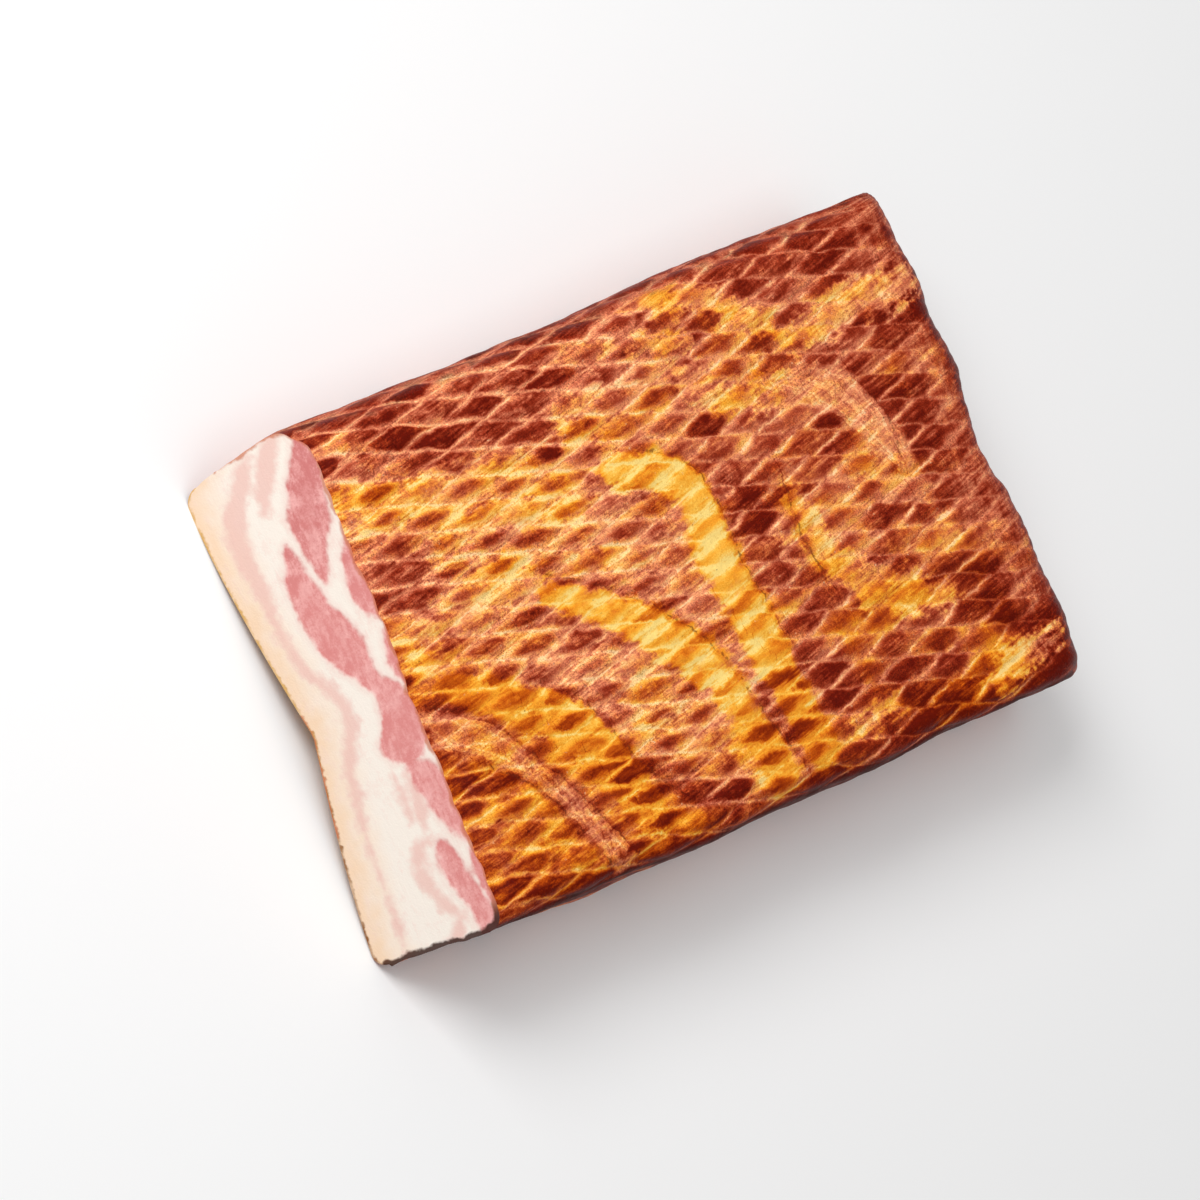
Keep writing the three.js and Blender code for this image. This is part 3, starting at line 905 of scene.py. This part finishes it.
def cell_marks(g, s):
    """How dark the middle of each cell is: flat marks on dark meat, lens-like ones on light meat."""
    local = g.add(s.tone, (s.broad, 0.6), (s.worn, 0.6), (s.amber, 0.08))
    to_rib = g.rise(s.amber, 0, 0.4, 0.5, 0)
    reach = g.add(s.u, by_part(g, s, 0.12, 0), (s.ribs, to_rib))
    skewed = g.times(g.rise(s.past_cord, 0, 0.3), g.rise(s.past_cord, 0.3, 1, 1, 0))
    even_on_rib = g.rise(s.amber, 0, 0.4, 0.2, 1)
    even = g.times(s.left, g.rise(s.ribs, 0, 1, 1, even_on_rib))
    across = g.blend(even, skewed, g.rise(s.v, 0, 1))
    lens = g.times(g.rise(reach, 0, 0.75), across)
    plateau = g.rise(g.math("MINIMUM", reach, s.v), 0, 0.45)
    cell = g.blend(g.rise(local, 0.42, 0.58), plateau, lens)
    ragged = g.add((s.streaks, 1.3), (s.patch, 0.8), (s.grain, 0.8))
    ragged = g.add(ragged, (s.fibre, by_part(g, s, 1.4, 0.8)), (s.bigger, 0.5))
    marked = g.add(cell, ragged, (g.minus(0.58, local), 0.6))
    mark = g.rise(marked, by_part(g, s, -0.05, 0.12), by_part(g, s, 1.05, 0.88))
    depth = g.add(
        by_part(g, s, 0.45, 0.42),
        (s.darker, by_part(g, s, 0.28, 0.45)),
        (s.fat, by_part(g, s, -0.22, -0.08)),
        (s.ribs, g.rise(s.amber, 0, 0.5, -0.12, 0.08)),
    )
    depth = g.times(depth, g.rise(s.to_end, 0, 1, 1, 0.65), g.rise(s.dry, 0, 1, 1, 0.25))
    return g.times(depth, g.minus(0.4, mark))


def cord_lines_and_highlights(g, s):
    """Pale lines where the cords lay, brightened as painted highlights, worn away in places."""
    worn_p = g.rise(g.add(s.worn, s.patch), -0.2, 0.08)
    worn_q = g.rise(g.add(s.patch, (s.worn, -1)), -0.2, 0.08)
    cord_p = g.times(g.rise(s.u, 0, 0.2, 1, 0), s.left, worn_p)
    cord_q = g.times(g.rise(s.v, 0, by_part(g, s, 0.16, 0.12), 1, 0), worn_q)
    cord_q = g.times(cord_q, g.rise(s.u, 0.05, 0.4, s.left, 1))
    # Their lightness is partly the cords' pale imprint and partly painted highlight
    cord_and_highlight = g.times(g.math("MAXIMUM", cord_p, cord_q), g.rise(s.tone, 0.45, 0.72, 0.2, 0.14))
    cord_and_highlight = g.times(cord_and_highlight, by_part(g, s, 1.5, 1), g.rise(s.to_end, 0, 1, 1, 0.4))
    return g.times(cord_and_highlight, g.rise(s.amber, 0, 1, 1, 0.9))


def lightness(g, s, cord_and_highlight):
    """Where the skin lies on the ramps."""
    wander = g.add((s.patch, 0.7), (s.streaks, 1.2), (s.grain, 0.4))
    wander = g.add(wander, (s.fibre, 0.5), (s.fine, 0.35))
    calm = g.times(g.rise(s.ribs, 0, 1, 1, 0.6), g.rise(s.dry, 0, 1, 1, 0.8))
    wander = g.add((wander, calm), (s.broad, 0.45), (s.darker, -0.1))
    into_membrane = g.add(g.field("membrane"), (s.patch, 6), (s.grain, 3))
    strands = g.times(g.strands(into_membrane, 1.8), s.dry)
    end_fibre = g.times(s.to_end, g.noise(2.4, 3, (1, 0.2, 0.5)), 0.5)
    light = g.add(s.tone, cell_marks(g, s), cord_and_highlight, wander, strands, end_fibre)
    # Darker on burnt edges and under the painted shade of the edges, and painted shade within 3.5 mm of each
    # crack
    light = g.add(light, (s.burnt, -0.3), g.rise(s.crack, 0, 3.5, -0.16, 0))
    over = g.math("MAXIMUM", g.minus(light, SIDE_DULL_FROM), 0)
    return g.add(light, (over, s.side, -SIDE_DULLING))


def goldenness(g, s, light, cord_and_highlight):
    """How golden the skin is, from 0 to 1, less so in the brightest lights."""
    fat_gold = by_part(g, s, 0.28, 0.22)
    gold = g.add(g.field("gold"), (s.ribs, 0.85), (s.fat, fat_gold), (s.richer, 0.35))
    gold = g.add(gold, (cord_and_highlight, -0.9), (s.burnt, -0.6))
    gold = g.add(gold, (s.patch, 0.8), s.worn, (s.broad, 0.9))
    gold = g.rise(g.add(gold, (s.grain, 0.5), (s.streaks, 0.7)), 0, 1)
    in_lights = g.rise(s.ribs, 0, 1, 0.72, 0.9)
    return g.times(gold, g.rise(light, 0.75, 1, 1, in_lights))


def smoked_skin():
    """Smoked lean, fat and membrane under uneven net marks, with grit, painted glints, cracks with painted
    shade, and burnt edges with painted shade.
    """
    g = Graph("smoked_skin")
    s = skin_values(g)
    cord_and_highlight = cord_lines_and_highlights(g, s)
    light = lightness(g, s, cord_and_highlight)
    gold = goldenness(g, s, light, cord_and_highlight)
    colour = g.mix(gold, g.ramp(light, LEAN_RAMP), g.ramp(light, GOLD_RAMP))
    grit = g.add((s.fine, 1.5), (s.fibre, 0.4), (s.grain, 0.6))
    coarse_in_places = g.rise(g.add(s.patch, s.worn), -0.2, 0.2, 0.6, 1.2)
    coarse = g.times(g.rise(gold, 0.3, 0.9, 1.15, 0.5), coarse_in_places)
    colour = g.scaled(colour, g.add(1, (grit, coarse, g.rise(s.ribs, 0, 1, 1, 0.7))))
    # Painted highlights: small glints mixed into the colour
    painted_glint = g.rise(g.noise(1.4, 1, shift=11), 0.19, 0.27)
    painted_glint = g.times(painted_glint, g.rise(light, 0.3, 0.6), coarse, g.rise(s.side, 0, 1, 0.4, 0))
    colour = g.mix(painted_glint, colour, PAINTED_GLINT)
    # Painted shade: a dark line inside each crack
    crack_shade_in_places = g.rise(g.add(s.patch, s.grain), -0.06, 0.14, 0, 0.7)
    colour = g.mix(g.times(g.rise(s.crack, 0.1, 0.8, 1, 0), crack_shade_in_places), colour, CRACK_SHADE)
    speck = g.rise(g.noise(1.8, 1, shift=5), 0.25, 0.29)
    colour = g.mix(g.times(speck, 0.6), colour, SPECK)
    # Burnt edges, with painted shade on the -Y side and over the far end
    colour = g.mix(g.times(s.burnt, 0.8), colour, BURNT_AND_SHADE)
    height = g.add((s.fine, 0.6), (s.grain, 0.7))
    roughness = g.rise(g.add(light, s.burnt, (s.fine, 0.6)), 0, 1.2, 0.38, 0.6)
    specular = g.rise(light, 0.3, 0.8, 0.05, 0.14)
    return g.finish(colour, roughness, g.bump(height, 0.35), specular)


def cut_face():
    """Fresh lean and fat, creamier towards the rind, inside thin rims of rind and crust, the crust's rim at
    the -Y end burnt and darkened by painted shade.
    """
    g = Graph("cut_face")
    fine, grain, patch = g.noise(0.7), g.noise(2.2), g.noise(7)
    fibre = g.noise(1.8, 3, (1, 0.3, 1))
    across, over_rind = g.field("across"), g.field("over_rind")
    into_lean = g.add(g.field("lean"), g.add((patch, 5), (grain, 1.5), (fibre, 1.2)))
    mottle = g.add(patch, (fibre, 0.8), (fine, 0.6), (grain, 0.5))

    deep = g.mix(g.rise(across, 0.15, 0.35), FLESH_DEEP, FLESH_DEEP_UPPER)
    flesh = g.mix(g.rise(mottle, -0.35, 0.25), FLESH, deep)
    flesh = g.mix(g.rise(into_lean, 1.5, 7, 0, 0.4), flesh, deep)
    vein = g.add(g.noise(4.5, 2, (1, 0.35, 1), 3), (grain, 0.3))
    flesh = g.mix(g.rise(vein, 0.14, 0.26, 0, 0.4), flesh, FLESH_VEIN)
    flesh = g.mix(g.rise(g.noise(3.2, 1, shift=9), 0.28, 0.33, 0, 0.5), flesh, FLESH_SPOT)

    above_rind = g.add(over_rind, (patch, 12))
    fat = g.mix(g.rise(above_rind, 0, 10), FAT_BY_RIND, FAT_MIDDLE)
    fat = g.mix(g.rise(above_rind, 6, 20), fat, FAT_WHITE)
    fat = g.mix(g.rise(mottle, 0, 0.3, 0, 0.25), fat, FAT_MOTTLE)
    streak = g.rise(g.add(g.field("streak"), (grain, 3), (patch, 7)), -2.2, 2.2)
    fat = g.mix(g.times(streak, 0.7), fat, FAT_STREAK)
    fat = g.mix(g.rise(into_lean, -3.5, -0.6, 0, 0.35), fat, FAT_BY_LEAN)
    lean = g.rise(into_lean, -1.2, 1)
    colour = g.mix(lean, fat, flesh)

    rind = g.rise(g.add(over_rind, (grain, 3)), 0.3, 1.3, 1, 0)
    rind_colour = g.mix(g.rise(across, -0.3, 0.1), CUT_RIND_LOW, CUT_RIND_HIGH)
    colour = g.mix(g.times(rind, g.rise(patch, -0.15, 0.1, 0.4, 1)), colour, rind_colour)
    low_edge = g.rise(across, -0.47, -0.42, 1, 0)
    to_crust = g.add(g.field("to_crust"), (grain, 2), (patch, 4), (low_edge, -1.2))
    rim = g.times(g.rise(to_crust, 0.2, 1.4, 1, 0), g.rise(low_edge, 0, 1, 0.75, 0.95))
    # Towards the -Y end the rim turns to burnt crust in painted shade
    colour = g.mix(rim, colour, g.mix(low_edge, CUT_RIM, CUT_RIM_BURNT_AND_SHADE))
    height = g.add((fine, 0.4), (fibre, 0.5), (lean, -0.4))
    return g.finish(colour, g.rise(lean, 0, 1, 0.45, 0.38), g.bump(height, 0.3), 0.2)


def rind_face():
    """The smoked rind underneath, with fine pores."""
    g = Graph("rind")
    fine, grain, patch = g.noise(0.9, 3), g.noise(3), g.noise(16)
    colour = g.mix(g.rise(g.add(patch, (grain, 0.4)), -0.3, 0.3), RIND_PALE, RIND_BROWN)
    colour = g.mix(g.rise(fine, 0.15, 0.3), colour, RIND_PORE)
    return g.finish(colour, g.rise(fine, -0.3, 0.3, 0.4, 0.6), g.bump(g.add(fine, grain), 0.4), 0.35)


def floor_face():
    """A matt pale floor."""
    g = Graph("pale_floor")
    return g.finish(FLOOR_COLOUR, 0.9, g.bump(g.noise(2), 0.01), 0.1)


def band_faces(grid, piece, skin_rows):
    """Quads between the rings of the grid, with the material of each."""
    row_count, column_count = grid.shape[:2]
    faces, materials = [], []
    for row in range(row_count - 1):
        near, far = row * column_count, (row + 1) * column_count
        for k in range(column_count):
            following = (k + 1) % column_count
            faces.append((near + k, far + k, far + following, near + following))
            under = piece[k] == BASE and row < skin_rows - 1
            materials.append(RIND_MATERIAL if under else SKIN_MATERIAL)
    return faces, materials


def joined(face, ring_start, ring_length, first_inside):
    """A cap's triangle in the mesh's own numbers: its border lies on a ring, and its inner points follow."""
    return [ring_start + k if k < ring_length else first_inside + k - ring_length for k in face]


def slab_mesh():
    """The whole slab as one closed mesh, with its fields as attributes."""
    skin, skin_fields, piece = skin_grid()
    rings, ring_fields = end_rings(skin[-1], skin_fields)
    grid = np.concatenate([skin, rings])
    row_count, column_count = grid.shape[:2]
    fields = {name: np.concatenate([skin_fields[name], ring_fields[name]]) for name in skin_fields}
    faces, materials = band_faces(grid, piece, len(skin))

    cut_ring, end_ring = grid[0], grid[-1]
    cut_y, cut_z, cut_faces = fill_ring(cut_ring, CUT_STEP)
    end_y, end_z, end_faces = fill_ring(end_ring, END_STEP)
    cut_xyz = np.stack([place_along(0 * cut_y, cut_y, cut_z), cut_y, cut_z], -1)
    end_xyz = np.stack([np.full(len(end_y), end_ring[:, 0].mean()), end_y, end_z], -1)
    points = np.concatenate([grid.reshape(-1, 3), cut_xyz, end_xyz])

    last_ring = (row_count - 1) * column_count
    first_cut = row_count * column_count
    first_end = first_cut + len(cut_y)
    faces += [joined(face, 0, column_count, first_cut) for face in cut_faces]
    faces += [joined(reversed(face), last_ring, column_count, first_end) for face in end_faces]
    materials += [CUT_MATERIAL] * len(cut_faces) + [SKIN_MATERIAL] * len(end_faces)

    nearest = np.abs(end_y[:, None] - end_ring[None, :, 1]).argmin(1)
    end_fields = {name: values[-1][nearest] for name, values in fields.items()}
    end_fields["net_p"], end_fields["net_q"] = end_net_coordinates(end_y, end_z)
    attributes = {}
    for name, values in fields.items():
        attributes[name] = np.concatenate([values.ravel(), np.zeros(len(cut_y)), end_fields[name]])
    base = cut_ring[piece >= FOOT, 1:]
    base = base[np.argsort(base[:, 0])]
    attributes.update(layers_of_cut(points[:, 1], points[:, 2], cut_ring[:, 1:], base))
    return points, faces, materials, attributes


def slab_object():
    """The slab, centred on the solid's box, and how far it was moved for that."""
    points, faces, materials, attributes = slab_mesh()
    box_middle = (points.min(0) + points.max(0)) / 2
    cad_middle = np.array((cad_box[0] + cad_box[1]) / 2) / METRES
    shift = np.array([cad_middle[0] - box_middle[0], cad_middle[1] - box_middle[1], 0])
    mesh = bpy.data.meshes.new("bacon")
    mesh.from_pydata(((points + shift) * METRES).tolist(), [], faces)
    for make in (smoked_skin, cut_face, rind_face):
        mesh.materials.append(make())
    mesh.polygons.foreach_set("material_index", materials)
    mesh.polygons.foreach_set("use_smooth", [True] * len(faces))
    for name, values in attributes.items():
        mesh.attributes.new(name, "FLOAT", "POINT").data.foreach_set("value", values.astype(np.float32))
    mesh.set_sharp_from_angle(angle=SHARP_ANGLE)
    slab = bpy.data.objects.new("bacon", mesh)
    bpy.context.scene.collection.objects.link(slab)
    return slab, shift


def make_camera(shift):
    """A long lens at the photograph's angle, rolled as the photograph is."""
    level = Vector((math.cos(CAMERA_HEADING), math.sin(CAMERA_HEADING), 0))
    look = level * math.cos(CAMERA_ELEVATION) - Vector((0, 0, math.sin(CAMERA_ELEVATION)))
    level_right = Vector((math.sin(CAMERA_HEADING), -math.cos(CAMERA_HEADING), 0))
    level_up = level_right.cross(look)
    right = math.cos(CAMERA_ROLL) * level_right + math.sin(CAMERA_ROLL) * level_up
    up = math.cos(CAMERA_ROLL) * level_up - math.sin(CAMERA_ROLL) * level_right
    aim = Vector(CAMERA_AIM) + Vector(shift)
    camera = bpy.data.objects.new("camera", bpy.data.cameras.new("camera"))
    camera.data.sensor_width = SENSOR
    camera.data.lens = FOCAL_PIXELS / IMAGE_SIDE * SENSOR
    camera.data.clip_end = CAMERA_CLIP_END
    turn = Matrix((right, up, -look)).transposed().to_4x4()
    camera.matrix_world = Matrix.Translation((aim - look * CAMERA_DISTANCE) * METRES) @ turn
    bpy.context.scene.collection.objects.link(camera)
    bpy.context.scene.camera = camera


def make_floor():
    """The pale floor that the slab lies on."""
    bpy.ops.mesh.primitive_plane_add(size=FLOOR_SIZE)
    floor = bpy.context.object
    floor.name = "floor"
    floor.data.materials.append(floor_face())


def make_lamp(name, place, size, power):
    """A square lamp that shines at the origin."""
    lamp = bpy.data.objects.new(name, bpy.data.lights.new(name, "AREA"))
    lamp.data.size = size
    lamp.data.energy = power
    lamp.location = place
    lamp.rotation_euler = (-Vector(place)).to_track_quat("-Z", "Y").to_euler()
    bpy.context.scene.collection.objects.link(lamp)


def make_light():
    """White surroundings and the lamps."""
    world = bpy.data.worlds.new("studio")
    world.use_nodes = True
    background = world.node_tree.nodes["Background"]
    background.inputs["Color"].default_value = (1, 1, 1, 1)
    background.inputs["Strength"].default_value = WORLD_STRENGTH
    bpy.context.scene.world = world
    for lamp in LAMPS:
        make_lamp(*lamp)
    bpy.context.scene.view_settings.view_transform = "Standard"


bacon, slab_shift = slab_object()
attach(bacon, "root")
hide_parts("bacon_slab")
make_camera(slab_shift)
make_floor()
make_light()
